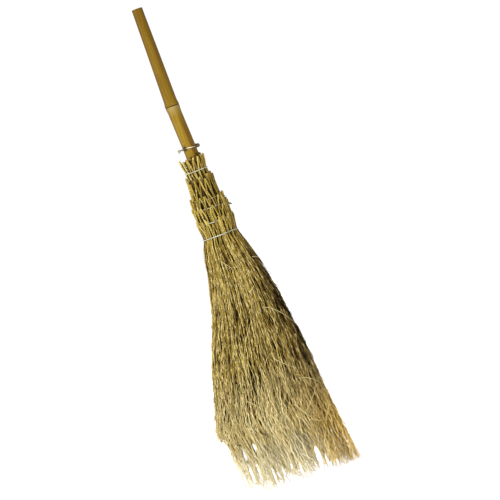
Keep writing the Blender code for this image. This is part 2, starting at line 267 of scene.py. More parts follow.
class Recipe:
    """A short way to write a material's nodes."""

    def __init__(self, name):
        self.material = bpy.data.materials.new(name)
        self.material.use_nodes = True
        self.tree = self.material.node_tree
        self.shader = self.tree.nodes["Principled BSDF"]
        self.place = self.tree.nodes.new("ShaderNodeTexCoord").outputs["Object"]

    def link(self, value, socket):
        if isinstance(value, bpy.types.NodeSocket):
            self.tree.links.new(value, socket)
        else:
            socket.default_value = value

    def node(self, kind, inputs=(), **settings):
        made = self.tree.nodes.new(kind)
        for key, value in settings.items():
            setattr(made, key, value)
        for key, value in dict(inputs).items():
            self.link(value, made.inputs[key])
        return made

    def number(self, name):
        """A number painted on the mesh."""
        return self.node("ShaderNodeAttribute", attribute_name=name).outputs["Fac"]

    def part_of(self, value, most):
        return self.math("MULTIPLY", value, most)

    def math(self, operation, first, second=0.0, clamp=False):
        inputs = {0: first, 1: second}
        return self.node("ShaderNodeMath", inputs, operation=operation, use_clamp=clamp).outputs[0]

    def stretched(self, scale, turn=(0, 0, 0)):
        """Object coordinates at a scale of its own for each axis."""
        inputs = {"Vector": self.place, "Scale": scale, "Rotation": turn}
        return self.node("ShaderNodeMapping", inputs).outputs[0]

    def noise(self, where, scale=1.0, detail=3.0, roughness=0.5, distortion=0.0):
        inputs = {"Vector": where, "Scale": scale, "Detail": detail, "Roughness": roughness}
        inputs["Distortion"] = distortion
        return self.node("ShaderNodeTexNoise", inputs).outputs["Fac"]

    def ramp(self, factor, *stops):
        """Colours along a factor. Each stop is a place and a colour or a grey."""
        made = self.node("ShaderNodeValToRGB", {"Fac": factor})
        elements = made.color_ramp.elements
        while len(elements) < len(stops):
            elements.new(0.5)
        for element, (place, colour) in zip(elements, stops):
            element.position = place
            element.color = (*colour, 1) if isinstance(colour, tuple) else (colour, colour, colour, 1)
        return made.outputs["Color"]

    def range(self, value, low, high, to_low=0.0, to_high=1.0):
        inputs = {"Value": value, "From Min": low, "From Max": high, "To Min": to_low, "To Max": to_high}
        return self.node("ShaderNodeMapRange", inputs).outputs["Result"]

    def mix(self, factor, first, second, blend="MIX"):
        made = self.node("ShaderNodeMix", data_type="RGBA", blend_type=blend)
        self.link(factor, made.inputs["Factor"])
        self.link((*first, 1) if isinstance(first, tuple) else first, made.inputs["A"])
        self.link((*second, 1) if isinstance(second, tuple) else second, made.inputs["B"])
        return made.outputs["Result"]

    def tint(self, factor, colour, by):
        """A colour, multiplied by another as far as the factor says."""
        return self.mix(factor, colour, self.mix(1.0, colour, by, "MULTIPLY"))

    def stain(self, colour, other, value, low, high, most):
        """A colour with another over it where a value passes from low to high."""
        return self.mix(self.range(value, low, high, 0.0, most), colour, other)

    def bump(self, height, distance, strength=1.0):
        inputs = {"Height": height, "Distance": distance, "Strength": strength}
        return self.node("ShaderNodeBump", inputs).outputs["Normal"]

    def finish(self, colour, roughness, normal=None, constants=()):
        self.link(colour, self.shader.inputs["Base Color"])
        self.link(roughness, self.shader.inputs["Roughness"])
        if normal is not None:
            self.link(normal, self.shader.inputs["Normal"])
        for key, value in dict(constants).items():
            self.shader.inputs[key].default_value = value
        return self.material


def twig_material():
    """Dry bark: each stem has its own tone and warmth, marked joints, fine streaks and specks, a bleached tip
    that is tan where the stem is warm, painted light that pales the lower brush, and painted shade on the
    right and where it lies deep."""
    m = Recipe("dry_twig_bark")
    streaks = m.noise(m.stretched((1400, 1400, 90)), detail=4)
    patches = m.noise(m.stretched((90, 90, 40)), detail=3)
    bark = m.ramp(
        m.number("tone"),
        (0.0, (0.055, 0.030, 0.006)),
        (0.25, (0.120, 0.075, 0.011)),
        (0.5, (0.215, 0.150, 0.022)),
        (0.75, (0.365, 0.275, 0.050)),
        (1.0, (0.580, 0.470, 0.140)),
    )
    bark = m.tint(m.part_of(m.number("warm"), 0.6), bark, (0.97, 0.70, 0.40))
    bark = m.stain(bark, (0.16, 0.09, 0.025), streaks, 0.40, 0.75, 0.5)
    bark = m.stain(bark, (0.42, 0.33, 0.08), patches, 0.45, 0.72, 0.30)
    joint = m.ramp(m.number("tone"), (0.35, (0.07, 0.035, 0.012)), (0.6, (0.70, 0.58, 0.28)))
    bark = m.mix(m.part_of(m.math("POWER", m.number("joint"), 2.0), 0.75), bark, joint)
    pale = m.ramp(
        m.number("tone"),
        (0.1, (0.36, 0.26, 0.09)),
        (0.5, (0.84, 0.71, 0.32)),
        (0.95, (1.0, 0.94, 0.64)),
    )
    pale = m.stain(pale, (0.34, 0.24, 0.09), streaks, 0.40, 0.75, 0.4)
    # the tip number pales the bark: bleached twig ends, and painted light over the lower brush
    bark = m.mix(m.part_of(m.number("tip"), 0.85), bark, pale)
    bark = m.stain(bark, (0.98, 0.92, 0.66), m.number("tip"), 0.75, 1.0, 0.55)
    specks = m.noise(m.stretched((420, 420, 260)), detail=2)
    bark = m.tint(m.range(specks, 0.54, 0.64, 0.0, 0.55), bark, (0.30, 0.25, 0.22))
    tan = m.part_of(m.range(m.number("warm"), 0.35, 0.85), m.number("tip"))
    bark = m.tint(tan, bark, (1.15, 0.92, 0.46))
    # painted shade: twigs that lie deep, in the furrows and on the right flank are darkened
    bark = m.tint(m.number("gloom"), bark, (0.060, 0.042, 0.036))
    rough = m.range(streaks, 0.3, 0.7, 0.6, 0.85)
    return m.finish(bark, rough, m.bump(streaks, 0.0003, 0.6), {"Specular IOR Level": 0.06})


def cut_material():
    """A sawn or snapped twig end: dark pith in weathered wood."""
    m = Recipe("cut_twig_end")
    grain = m.noise(m.place, 900, detail=4)
    colour = m.ramp(grain, (0.35, (0.05, 0.028, 0.014)), (0.7, (0.23, 0.15, 0.07)))
    return m.finish(colour, m.range(grain, 0.3, 0.7, 0.75, 0.95), m.bump(grain, 0.0004))


def wire_material(name, bright, low_tone, bloomed, rough, marked, metallic):
    """Mottled wire, bright where its tone is high and dark where it is low; on some wires the tone is painted
    highlight and painted shade.
    """
    m = Recipe(name)
    mottle = m.noise(m.place, 420, detail=5, roughness=0.6)
    bloom = m.noise(m.place, 110, detail=3)
    metal = m.ramp(mottle, (0.3, bright[0]), (0.7, bright[1]))
    metal = m.stain(metal, (0.70, 0.70, 0.56), bloom, 0.5, 0.7, bloomed)
    low_tone_metal = m.ramp(mottle, (0.3, low_tone[0]), (0.7, low_tone[1]))
    colour = m.mix(m.number("tone"), low_tone_metal, metal)
    rough = m.range(mottle, 0.3, 0.7, *rough)
    return m.finish(colour, rough, m.bump(mottle, 0.0001, marked), {"Metallic": metallic})


def galvanised_wire():
    """Dull grey-green zinc."""
    bright = ((0.36, 0.38, 0.30), (0.60, 0.63, 0.50))
    low_tone = ((0.035, 0.030, 0.018), (0.14, 0.12, 0.07))
    return wire_material("galvanised_wire", bright, low_tone, 0.6, (0.38, 0.6), 0.5, 0.35)


def peg_wire_with_painted_light():
    """The thicker wire at the peg, with a near-white painted highlight where its tone is high and painted
    shade where it is low.
    """
    bright = ((0.80, 0.76, 0.50), (0.98, 0.95, 0.74))
    low_tone = ((0.020, 0.018, 0.010), (0.11, 0.10, 0.05))
    return wire_material("bright_wire", bright, low_tone, 0.0, (0.3, 0.5), 0.4, 0.25)


def peg_material():
    """Whittled brown wood, with its grain along the peg, and painted shade on its end sunk in the hole."""
    m = Recipe("whittled_peg")
    grain = m.noise(m.stretched((220, 900, 900), (0, 0, -PEG_TURN)), detail=4)
    colour = m.ramp(grain, (0.3, (0.060, 0.034, 0.006)), (0.7, (0.175, 0.110, 0.018)))
    colour = m.mix(m.number("gloom"), colour, (0.02, 0.012, 0.006))
    return m.finish(colour, m.range(grain, 0.3, 0.7, 0.5, 0.7), m.bump(grain, 0.0003, 0.6))


# ---------------------------------------------------------------- the handle

NODE_DROP = 0.250  # from the top of the handle down to its visible node
NODE_HEIGHT = culm_high[2] - NODE_DROP
NODE_SPACING = 0.250
CULM_WALL = 0.0058
GROOVE_ANGLE = math.radians(-52)
GROOVE_WIDTH = math.radians(30)
GROOVE_DEPTH = 0.0011
GROOVE_MARGIN = 0.006  # from a node to the groove's end
GROOVE_FADE = 0.05  # it grows shallow over this length under the visible node
GROOVE_START = 0.02  # and sets in over this one at the hidden node
PEG_TURN = math.radians(42)  # from +X towards the back
peg_low, peg_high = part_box("retaining_peg")
PEG_HEIGHT = (peg_low[2] + peg_high[2]) / 2
PIT_RADIUS = 0.0041
PIT_DEPTH = 0.0035
PIT_SHIFT = math.radians(7)  # the worn hole is a little nearer the front than the peg's axis
PIT_EDGE = 0.0008  # its rim is rounded off over this width
HOLE_SHADE_DEPTH = 0.005  # the painted shade round the hole reaches this far into the culm
PEG_SHADE = (-0.65, 0.45, 0.014)  # the painted shadow beside the peg: its angle, and its spread round and up
SKIN_DEPTH = 0.003
CULM_SIDES = 144
SHARP_CULM = math.radians(40)
# How a node stands out from the culm: its place over the node's height, its width, and how far out it is
NODE_RINGS = ((0.0045, 0.0030, 0.0007), (0.0, 0.0009, -0.0009), (-0.0022, 0.0016, 0.0006))
# The culm isn't quite round: the size of each wave, how many go round, and radians round for each metre up
OUT_OF_ROUND = ((0.00018, 2, 9), (0.00008, 5, 31))
# Where the culm's rings lie closer
NODE_DETAIL = np.arange(-0.012, 0.0141, 0.0009)
PEG_DETAIL = np.arange(-0.006, 0.0061, 0.0006)
END_MARGIN = 0.0004  # from the sawn ends to the first ring of the skin
SAWN_EDGE = 0.0005
DIAPHRAGM_HALF = 0.0015


def bamboo_material():
    """Aged bamboo: fibres up the culm, a dark scar ring and a waxy band at the node, and painted shade on its
    edges.
    """
    m = Recipe("aged_bamboo")
    height = m.node("ShaderNodeSeparateXYZ", {"Vector": m.place}).outputs["Z"]
    fibres = m.noise(m.stretched((520, 520, 9)), detail=5, roughness=0.6)
    blotches = m.noise(m.stretched((45, 45, 12)), detail=4, distortion=0.6)
    specks = m.noise(m.stretched((700, 700, 260)), detail=2)
    dark = ((0.3, (0.090, 0.044, 0.003)), (0.5, (0.140, 0.076, 0.005)), (0.72, (0.185, 0.108, 0.010)))
    light = ((0.3, (0.150, 0.082, 0.006)), (0.5, (0.235, 0.145, 0.014)), (0.72, (0.295, 0.195, 0.028)))
    upper, lower = m.ramp(fibres, *dark), m.ramp(fibres, *light)
    upper = m.mix(m.range(height, NODE_HEIGHT, culm_high[2], 0.45, 0.0), upper, lower)
    colour = m.mix(m.range(height, NODE_HEIGHT - 0.002, NODE_HEIGHT + 0.001), lower, upper)
    colour = m.stain(colour, (0.110, 0.052, 0.005), blotches, 0.52, 0.75, 0.55)
    colour = m.stain(colour, (0.07, 0.035, 0.008), specks, 0.70, 0.80, 0.5)
    under_scar = m.math("LESS_THAN", height, NODE_HEIGHT - 0.0006)
    waxy = m.part_of(m.range(height, NODE_HEIGHT - 0.026, NODE_HEIGHT - 0.004), under_scar)
    waxy = m.part_of(waxy, m.range(blotches, 0.35, 0.6, 0.35, 0.75))
    colour = m.mix(waxy, colour, (0.33, 0.26, 0.10))
    # painted shade on the pole's left and right edges, and a painted shadow beside the peg
    colour = m.mix(m.part_of(m.number("flank"), 0.8), colour, (0.078, 0.033, 0.003))
    from_scar = m.math("ABSOLUTE", m.math("SUBTRACT", height, NODE_HEIGHT + 0.0004))
    scar = m.range(from_scar, 0.0006, 0.0017, 1.0, 0.0)
    colour = m.mix(m.part_of(scar, 0.92), colour, (0.045, 0.018, 0.008))
    # painted shade in the branch groove, as deep as the groove
    colour = m.mix(m.part_of(m.number("groove"), 0.8), colour, (0.120, 0.052, 0.005))
    # painted shade in and round the peg's hole
    colour = m.mix(m.number("hole"), colour, (0.02, 0.012, 0.006))
    rough = m.range(fibres, 0.3, 0.7, 0.33, 0.52)
    normal = m.bump(m.math("ADD", fibres, m.part_of(specks, 0.3)), 0.0004, 0.55)
    return m.finish(colour, rough, normal, {"Specular IOR Level": 0.06})


def cut_bamboo_material():
    """The sawn end: pale wall with dark fibre bundles, denser to the outside."""
    m = Recipe("cut_bamboo")
    bundles = m.node("ShaderNodeTexVoronoi", {"Vector": m.place, "Scale": 1300}).outputs["Distance"]
    stain = m.noise(m.place, 160, detail=4)
    colour = m.ramp(bundles, (0.12, (0.10, 0.055, 0.02)), (0.36, (0.42, 0.31, 0.13)))
    colour = m.stain(colour, (0.16, 0.10, 0.04), stain, 0.4, 0.7, 0.6)
    return m.finish(colour, 0.8, m.bump(bundles, 0.0003, 0.7))


def culm_profile(height):
    """Outer radius of the culm, taken from its frame node with the node's ridge drawn finer."""
    middle, radius, _ = handle_sleeve.at(height)
    for node in (NODE_HEIGHT, NODE_HEIGHT - NODE_SPACING):
        for place, width, out in NODE_RINGS:
            radius = radius + out * np.exp(-((height - node - place) / width) ** 2)
    return middle, radius


def groove_depth(angle, height):
    """The branch groove on the lower internode: deepest above the hidden node, fading to the visible one."""
    away = (angle - GROOVE_ANGLE + math.pi) % (2 * math.pi) - math.pi
    across = np.clip(1 - (away / GROOVE_WIDTH) ** 2, 0, 1) ** 1.5
    reach = below(height, NODE_HEIGHT - GROOVE_MARGIN, GROOVE_FADE)
    reach *= above(height, NODE_HEIGHT - NODE_SPACING + GROOVE_MARGIN, GROOVE_START)
    return across * reach


def from_pit(angle, height, radius):
    """How far a place on the culm is from the middle of the hole at the peg's sunk end."""
    round_it = (angle - PEG_TURN - PIT_SHIFT) % (2 * math.pi) - math.pi
    return np.hypot(round_it * radius, height - PEG_HEIGHT)


def culm_rings(heights, sides, inset=0.0):
    """Rings of points round the culm's outer skin, or a set distance inside it."""
    turn = 2 * np.pi * np.arange(sides) / sides
    rings = []
    for height in heights:
        middle, radius = culm_profile(height)
        wobble = sum(size * np.sin(count * turn + height * twist) for size, count, twist in OUT_OF_ROUND)
        reach = radius - inset + wobble
        if inset == 0:
            pit = below(from_pit(turn, height, radius), PIT_RADIUS + PIT_EDGE / 2, PIT_EDGE)
            reach -= GROOVE_DEPTH * groove_depth(turn, height) + PIT_DEPTH * pit
        x = middle + reach * np.cos(turn)
        y = reach * np.sin(turn)
        rings.append(np.column_stack([x, y, np.full(sides, height)]))
    return rings, turn


def culm_surface():
    """The culm's skin, its sawn ends, its open bores and the diaphragms at its nodes, as one closed mesh."""
    sides = CULM_SIDES
    low, top = culm_low[2], culm_high[2]
    hidden_node = NODE_HEIGHT - NODE_SPACING
    fine = [node + offset for node in (NODE_HEIGHT, hidden_node) for offset in NODE_DETAIL]
    fine += list(PEG_HEIGHT + PEG_DETAIL)
    heights = sorted({*np.linspace(low + END_MARGIN, top - END_MARGIN, 90), *fine}, reverse=True)
    outer, _ = culm_rings(heights, sides)
    insets = (CULM_WALL, CULM_WALL * 0.66, CULM_WALL * 0.33, SAWN_EDGE)
    top_face = [culm_rings([top], sides, inset)[0][0] for inset in insets]
    low_face = [culm_rings([low], sides, inset)[0][0] for inset in (SAWN_EDGE, CULM_WALL)]
    down = culm_rings(np.linspace(top - HAIR, NODE_HEIGHT + DIAPHRAGM_HALF, 14), sides, CULM_WALL)[0]
    up = culm_rings(np.linspace(low + HAIR, hidden_node - DIAPHRAGM_HALF, 8), sides, CULM_WALL)[0]
    rings = down[::-1] + top_face + outer + low_face + up
    form = bmesh.new()
    rows = [[form.verts.new(point) for point in ring] for ring in rings]
    first_skin = len(down) - 1 + len(top_face)
    last_skin = first_skin + len(outer)
    for number, (upper, lower) in enumerate(zip(rows, rows[1:])):
        for i in range(sides):
            j = (i + 1) % sides
            face = form.faces.new((upper[i], lower[i], lower[j], upper[j]))
            face.smooth = True
            face.material_index = 0 if first_skin <= number < last_skin else 1
    for ring in (rows[0][::-1], rows[-1]):
        form.faces.new(ring).material_index = 1
    bmesh.ops.recalc_face_normals(form, faces=form.faces)
    mesh = bpy.data.meshes.new("bamboo_pole")
    form.to_mesh(mesh)
    form.free()
    mesh.set_sharp_from_angle(angle=SHARP_CULM)
    return mesh


def make_culm():
    """The bamboo pole, with what its material reads: painted shade in the groove, on the flanks, beside the
    peg and in and round the hole.
    """
    mesh = culm_surface()
    points = points_of(mesh)
    height = points[:, 2]
    middle, radius = culm_profile(height)
    angle = np.arctan2(points[:, 1], points[:, 0] - middle)
    away = np.hypot(points[:, 0] - middle, points[:, 1])
    paint(mesh, "groove", groove_depth(angle, height) * (away > radius - SKIN_DEPTH))
    turned, spread, length = PEG_SHADE
    beside_peg = np.exp(-(((angle - turned) / spread) ** 2) - ((height - PEG_HEIGHT) / length) ** 2)
    # painted shade on the left and right edges, and the painted shadow beside the peg
    paint(mesh, "flank", np.maximum(np.abs(np.cos(angle)) ** 4, 0.75 * beside_peg))
    # painted shade in and round the hole at the peg's sunk end
    stain = np.clip(1.9 - from_pit(angle, height, radius) / PIT_RADIUS, 0, 1)
    paint(mesh, "hole", stain * (away > radius - HOLE_SHADE_DEPTH))
    stand_for(show("bamboo_pole", mesh, [bamboo_material(), cut_bamboo_material()]), "handle_culm")


make_culm()


# ---------------------------------------------------------------- the peg and the wires

PEG_SHANK = 0.0040
PEG_KNOB = 0.0050
PEG_REACH = 0.0335
PEG_DOME = 0.007  # the rounded length of its knob
KNOB_LENGTH = 0.0085
KNOB_STEP = 0.002
KNOB_ROUND = 0.005
BINDING_RADIUS = 0.00110
TWIST_PITCH = 0.0065
TWIST_START = 0.06  # of the twist's length, where the two ends meet
TWIST_POINTS = 44
TWIST_SHORTER = 0.93  # of its two ends, one is cut this much shorter
RING_OPENING = 0.035  # radians from a ring's twist to either of its ends
RING_POINTS = 160
RING_DROOP = 0.6  # how far its twist hangs, for each metre that it stands out
RING_REACH = 0.8  # its length, of the frame's
# How a ring rides over the stems, in wire radii, and sways up and down: size, waves, phase for each tier
RING_LUMPS = ((0.35, 13, 1), (0.25, 29, 0))
RING_SWAYS = ((0.0009, 2, 1.7), (0.0002, 5, 0))
RING_PROUD = 0.3
RING_COVERED = 1.2  # how much deeper the middle rings lie, which the next tier's butts cover
RETAINING_RADIUS = 0.00105
HITCH_TURNS = 1.5
HITCH_PITCH = 0.0026
HITCH_GAP = 0.30  # radians round the pole, kept free beside the peg
PIGTAIL_GAP = 0.10
PIT_SPREAD = 0.20  # the wire sinks into the worn hole over these radians
FRONT_SWAY = 0.0012
FRONT_DROP = 0.0005
BEHIND_RISE = 0.0004
PIGTAIL_LENGTHS = (0.0105, 0.0125)
PIGTAIL_RADIUS = 1.5 * RETAINING_RADIUS
PIGTAIL_DIRECTION = np.array([-0.94, -0.30, 0.12])
CURL_RADIUS = 0.0030
CURL_TURN = 1.7 * math.pi
HIGHLIGHT_MIDDLE = 31  # a painted highlight lies on the wire here, counted in points from the pigtail
HIGHLIGHT_SPREAD = 10


def peg_axis():
    middle, _, _ = handle_sleeve.at(PEG_HEIGHT)
    return Vector((middle, 0, PEG_HEIGHT)), Vector((math.cos(PEG_TURN), math.sin(PEG_TURN), 0))


def make_peg():
    """A whittled peg: sunk in its hole at the front left, with a worn round knob at the back right."""
    centre, along = peg_axis()
    sunk = handle_sleeve.at(PEG_HEIGHT)[1] - PIT_DEPTH + HAIR
    shank = np.linspace(-sunk, PEG_REACH - PEG_DOME - HAIR, 24)
    dome = PEG_REACH - PEG_DOME + PEG_DOME * np.sin(np.linspace(0, 1, 9) * np.pi / 2)
    reach = np.concatenate([shank, dome])
    to_end = PEG_REACH - reach
    radii = PEG_SHANK + (PEG_KNOB - PEG_SHANK) * below(to_end, KNOB_LENGTH, KNOB_STEP)
    rounding = (1 - to_end / KNOB_ROUND).clip(0, 1)
    radii *= np.sqrt(np.clip(1 - rounding**2, 0.02, 1))
    path = np.array(centre) + np.outer(reach, np.array(along))
    tubes = Tubes()
    # painted shade on the peg's end, sunk in its hole
    tubes.add(path, radii, 20, across=(0, 0, 1), cut_slot=0, gloom=(reach < -sunk + HAIR).astype(float))
    tubes.piece("whittled_peg", [peg_material()], "retaining_peg", "peg_wood")


def twisted_pair(start, direction, droop, length, radius, phase):
    """One of two wire ends twisted round each other, from the head outwards. phase is 0 or pi."""
    reach = np.linspace(TWIST_START, 1, TWIST_POINTS)
    middle = np.outer(reach * length, direction)
    middle[:, 2] -= droop * length * reach**2
    along = np.gradient(middle, axis=0)
    along /= np.linalg.norm(along, axis=1)[:, None]
    first = np.cross(along, (0, 0, 1))
    first /= np.linalg.norm(first, axis=1)[:, None]
    second = np.cross(along, first)
    turn = 2 * np.pi * reach * length / TWIST_PITCH + phase
    return start + middle + (first * np.cos(turn)[:, None] + second * np.sin(turn)[:, None]) * radius


def wire_of_ring(ring, start, direction, droop, length, radius):
    """A ring whose two ends twist together: the whole path of the wire."""
    first = twisted_pair(start, direction, droop, length, radius, 0)
    second = twisted_pair(start, direction, droop, length * TWIST_SHORTER, radius, math.pi)
    return np.vstack([first[::-1], ring, second])


def waved(rows, turn, tier):
    """Some waves round the head together."""
    return sum(size * np.sin(count * turn + phase * tier) for size, count, phase in rows)


def make_binding_wire(number, materials):
    """A ring of wire round the butts of a tier, lying on the tier's stems."""
    node = "binding_wire_" + str(number)
    points = points_of(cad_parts[node].data)
    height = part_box(node)[1][2] - BINDING_RADIUS
    middle, width, depth = sleeves[number - 1].at(height)
    away = np.hypot(points[:, 0] - middle, points[:, 1])
    farthest = points[np.argmax(away)]
    twist = math.atan2(farthest[1], farthest[0] - middle)
    turn = twist + np.linspace(RING_OPENING, 2 * math.pi - RING_OPENING, RING_POINTS)
    covered = 1 < number < TIERS
    lumpy = BINDING_RADIUS * (RING_PROUD - RING_COVERED * covered + waved(RING_LUMPS, turn, number))
    x = middle + (width + lumpy) * np.cos(turn)
    y = (depth + lumpy) * np.sin(turn)
    ring = np.column_stack([x, y, height + waved(RING_SWAYS, turn, number)])
    direction = np.array([math.cos(twist), math.sin(twist), 0])
    start = (ring[0] + ring[-1]) / 2
    length = RING_REACH * (away.max() - np.hypot(start[0] - middle, start[1]))
    path = wire_of_ring(ring, start, direction, RING_DROOP, length, BINDING_RADIUS)
    from_end = np.arange(len(path))
    from_end = np.minimum(from_end, from_end[::-1])
    # the middle rings, covered by the next tier's butts, get painted shade; the tone also mottles along the
    # wire and darkens towards the twisted ends
    zinc = 0.8 - 0.25 * covered + 0.2 * np.sin(from_end * 0.21 + number)
    tone = np.clip((from_end - TWIST_POINTS + 4) / 12, 0.1, 1) * zinc
    tubes = Tubes()
    tubes.add(path, BINDING_RADIUS, 8, across=None, cut_slot=0, tone=tone)
    tubes.piece("binding_ring_" + str(number), materials, node, "binding_wire")


def make_retaining_wire():
    """A wire from the left round the front, hitched round the peg's neck, and back round behind."""
    centre, along = peg_axis()
    middle, culm, _ = handle_sleeve.at(PEG_HEIGHT)
    lay = culm + RETAINING_RADIUS
    front = np.linspace(math.pi + PIGTAIL_GAP, 2 * math.pi + PEG_TURN - HITCH_GAP, 70)
    behind = np.linspace(PEG_TURN + HITCH_GAP, math.pi - PIGTAIL_GAP, 50)
    over_pit = np.exp(-(((front - math.pi - PEG_TURN - PIT_SHIFT) / PIT_SPREAD) ** 2))
    reach = lay - over_pit * PIT_DEPTH
    rise = FRONT_SWAY * np.sin(front * 2) - FRONT_DROP
    over = np.column_stack([middle + reach * np.cos(front), reach * np.sin(front), PEG_HEIGHT + rise])
    level = np.full(len(behind), PEG_HEIGHT + BEHIND_RISE)
    under = np.column_stack([middle + lay * np.cos(behind), lay * np.sin(behind), level])
    turns = np.linspace(0, 2 * math.pi * HITCH_TURNS, 60)
    girth = PEG_SHANK + RETAINING_RADIUS
    hitch = np.array(centre) + np.outer(lay + HAIR + HITCH_PITCH * turns / (2 * math.pi), np.array(along))
    hitch += np.outer(-np.cos(turns) * girth, np.array([-along.y, along.x, 0.0]))
    hitch[:, 2] += np.sin(turns) * girth
    ring = np.vstack([over, hitch, under])
    start = np.array([middle - lay, 0.0, PEG_HEIGHT])
    first, second = [
        twisted_pair(start, PIGTAIL_DIRECTION, 0.0, length, PIGTAIL_RADIUS, phase)
        for length, phase in zip(PIGTAIL_LENGTHS, (0, math.pi))
    ]
    hook = np.linspace(0, CURL_TURN, 24)[1:]
    curl = first[-1] + CURL_RADIUS * np.column_stack([-np.sin(hook), 0.1 * hook, np.cos(hook) - 1])
    path = np.vstack([curl[::-1], first[::-1], ring, second])
    number = np.arange(len(path)) - len(curl) - len(first)
    # painted highlight on the front of the wire; painted shade over the rest of the ring and the hitch, a mid
    # tone on the pigtail, and painted light and shade round the curl
    bright = np.exp(-(((number - HIGHLIGHT_MIDDLE) / HIGHLIGHT_SPREAD) ** 2))
    tone = np.maximum(bright, 0.35 * ((number < 0) | (number > len(ring))))
    tone[: len(curl)] = 0.3 - 0.3 * np.cos(hook[::-1] * 2)
    tubes = Tubes()
    tubes.add(path, RETAINING_RADIUS, 8, across=None, cut_slot=0, tone=tone)
    tubes.piece("retaining_hitch", [peg_wire_with_painted_light()], "retaining_wire", "binding_wire")


make_peg()
make_retaining_wire()
wire_finishes = [galvanised_wire()]
for number in range(1, TIERS + 1):
    make_binding_wire(number, wire_finishes)


# ---------------------------------------------------------------- the twigs

STEM_INTERNODE = (0.018, 0.036)
BRANCH_INTERNODE = (0.013, 0.030)
BRANCH_RADIUS = (0.0006, 0.0011)
TWIGLET_RADIUS = (0.0004, 0.0006)
JOINT_RING = 0.0016  # half the length of a joint's swelling
LAST_JOINT = 0.005  # at least this far over the tip
LEAST_ARC = 0.006  # keeps the innermost stems from winding round the middle
BUTT_LENGTH = 0.006  # a stem is thickest and hooked over this length
STEM_SIDES = 8
BRANCH_SIDES = 4
SHOOT_SIDES = 3
SKIN_SIDES = 5
BRUSH_HEIGHT = wire_boxes[-1][0][2]
FAN_FULL = 0.34  # below this height the brush is fully open

# Where the tips are worn away: reach from the handle's axis, and how high the lowest tips stop there
WORN = np.array(
    [
        *((-0.172, 0.170), (-0.166, 0.150), (-0.163, 0.080), (-0.158, 0.045), (-0.154, 0.012)),
        *((-0.138, 0.018), (-0.127, 0.045), (-0.115, 0.026), (-0.105, 0.010), (-0.082, 0.000)),
        *((-0.066, 0.008), (-0.060, 0.028), (-0.045, 0.030), (-0.029, 0.020), (-0.002, 0.010)),
        *((0.016, 0.000), (0.026, 0.020), (0.036, 0.036), (0.044, 0.070), (0.052, 0.024)),
        *((0.072, 0.014), (0.088, 0.000), (0.140, 0.000)),
    ]
)
RAGGED = ((-0.16, -0.09, 0.03, 0.06), (0.014, 0.024, 0.024, 0.008))  # reach, and how far tips stop above
MOST_RAGGED = 0.20

# Gaps that go right through the worn end: reach from the handle's axis, height, half width and half length
SLITS = (
    (-0.1250, 0.098, 0.0064, 0.030),
    (-0.1240, 0.052, 0.0060, 0.034),
    (-0.0960, 0.112, 0.0064, 0.024),
    (-0.1060, 0.054, 0.0054, 0.036),
    (-0.0740, 0.030, 0.0052, 0.034),
    (-0.0500, 0.030, 0.0048, 0.028),
    (-0.0280, 0.040, 0.0040, 0.028),
    (-0.0080, 0.022, 0.0052, 0.028),
    (0.0420, 0.036, 0.0100, 0.036),
    (0.0580, 0.022, 0.0050, 0.026),
    (0.0800, 0.008, 0.0040, 0.018),
    (-0.1430, 0.030, 0.0050, 0.034),
)
SLIT_RAGGED = (0.6, 1.15)  # of its half width, for each twig beside it

# The left edge is broken away beyond this reach, from about this height down
NOTCH_REACH = -0.156
NOTCH_HEIGHT = 0.156
NOTCH_RAGGED = 0.010
splinters = np.random.default_rng(5)

# Furrows that run down the open brush, as waves: radians across its half width and its half depth, how long
# each wave is along the brush, and where it starts
FURROW_WAVES = 9
FURROW_ACROSS = random.uniform(42, 90, FURROW_WAVES)
FURROW_THROUGH = random.uniform(-32, 32, FURROW_WAVES)
FURROW_LENGTH = random.uniform(0.09, 0.30, FURROW_WAVES) * random.choice([-1, 1], FURROW_WAVES)
FURROW_START = random.uniform(0, 2 * np.pi, FURROW_WAVES)
FURROW_DEPTH = 0.0065
FURROW_LEVEL = 0.37  # they are cut where the waves together pass this level
FURROW_MORE = 0.36  # and where they pass this much less on the right
FURROW_SLOPE = 0.10
FURROW_END = (0.17, 0.14)  # the height they end at, and the length that they fade over
PROUD = 0.004  # how far a twig may stand out of the brush

# For each tier: how many sprigs lie at each depth in it, how thick their stems are, how they fork, how
# uneven their butts are, how they flare there, and how much higher than the frame's they stand
TIER_LAYERS = (
    ((14, 0.25), (14, 0.95)),
    ((18, 0.10), (15, 0.97)),
    ((22, 0.92),),
    ((25, 0.92),),
    ((18, 0.10), (29, 0.95)),
)
TIER_RADIUS = (0.0019, 0.0018, 0.0015, 0.0014, 0.0013)
TIER_FORKS = ((0.2, 0.8, 0.0), (0.0, 0.9, 0.1), (0.1, 0.8, 0.1), (0.1, 0.8, 0.1), (0.2, 0.7, 0.1))
TIER_FORK_LENGTH = (0.035, 0.044, 0.024, 0.022, 0.026)
TIER_FORK_REACH = (0.0060, 0.0080, 0.0058, 0.0050, 0.0046)
TIER_RAGGED = (0.0026, 0.005, 0.005, 0.005, 0.005)
TIER_FLARE = (0.0010, 0.0010, 0.0020, 0.0020, 0.0020)
FLARE_LENGTH = 0.014
TIER_LIFT = (-0.002, 0.0, 0.014, 0.014, 0.012)

